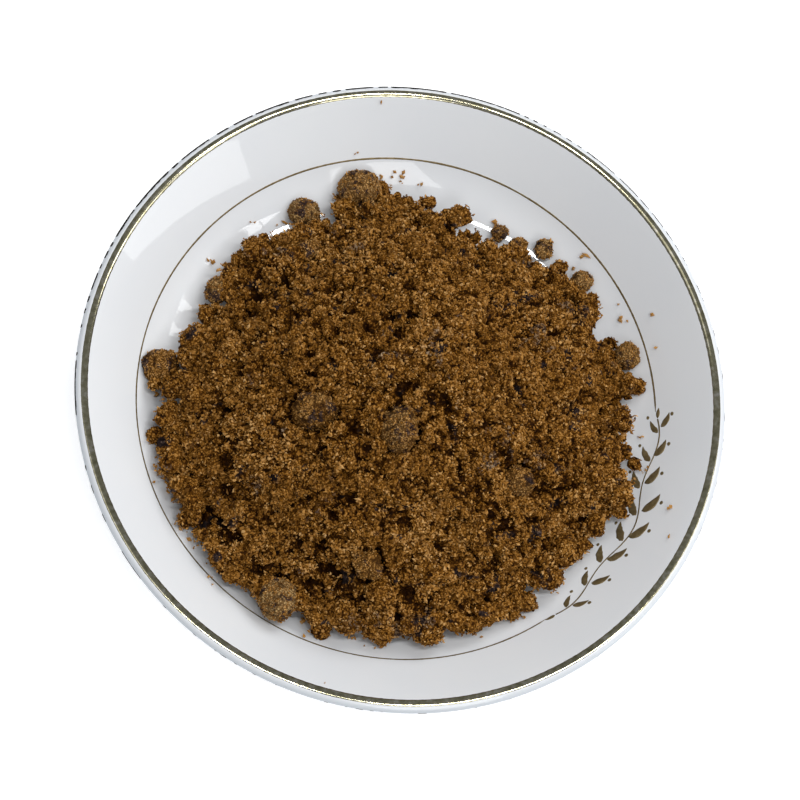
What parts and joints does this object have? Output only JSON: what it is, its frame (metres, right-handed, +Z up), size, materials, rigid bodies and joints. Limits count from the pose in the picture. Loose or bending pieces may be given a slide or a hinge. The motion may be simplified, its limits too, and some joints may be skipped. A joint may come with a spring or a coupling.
{
  "type": "dish of brown sugar",
  "caption": "Shallow white porcelain dish with gilt lines round its rim, holding a loose domed heap of moist dark brown sugar with hard caked lumps.",
  "frame": {"origin": "centre of the foot ring's base plane", "axes": "+Z up out of the dish; +X and +Y level, the largest round lump lies near the rim towards +Y"},
  "size_m": [0.18, 0.18, 0.0431],
  "materials": {
    "porcelain": "glazed",
    "gilding": "worn satin gilt",
    "brown_sugar": "moist, grainy",
    "caked_sugar": "matt, hard caked"
  },
  "bodies": {
    "root": {"dish": "porcelain", "sugar_heap": "brown_sugar", "lump_back": "caked_sugar", "lump_back_left": "caked_sugar", "lump_back_inner": "caked_sugar", "lump_right": "caked_sugar", "lump_front_left": "caked_sugar", "lump_left": "caked_sugar", "lump_summit": "caked_sugar", "lump_shoulder": "caked_sugar", "lump_slope": "caked_sugar", "lump_front": "caked_sugar", "lump_far_left": "caked_sugar", "crumb_far_right": "caked_sugar", "crumb_far": "caked_sugar", "crumb_far_grey": "caked_sugar", "crumb_far_dark": "caked_sugar"}
  },
  "joints": []
}
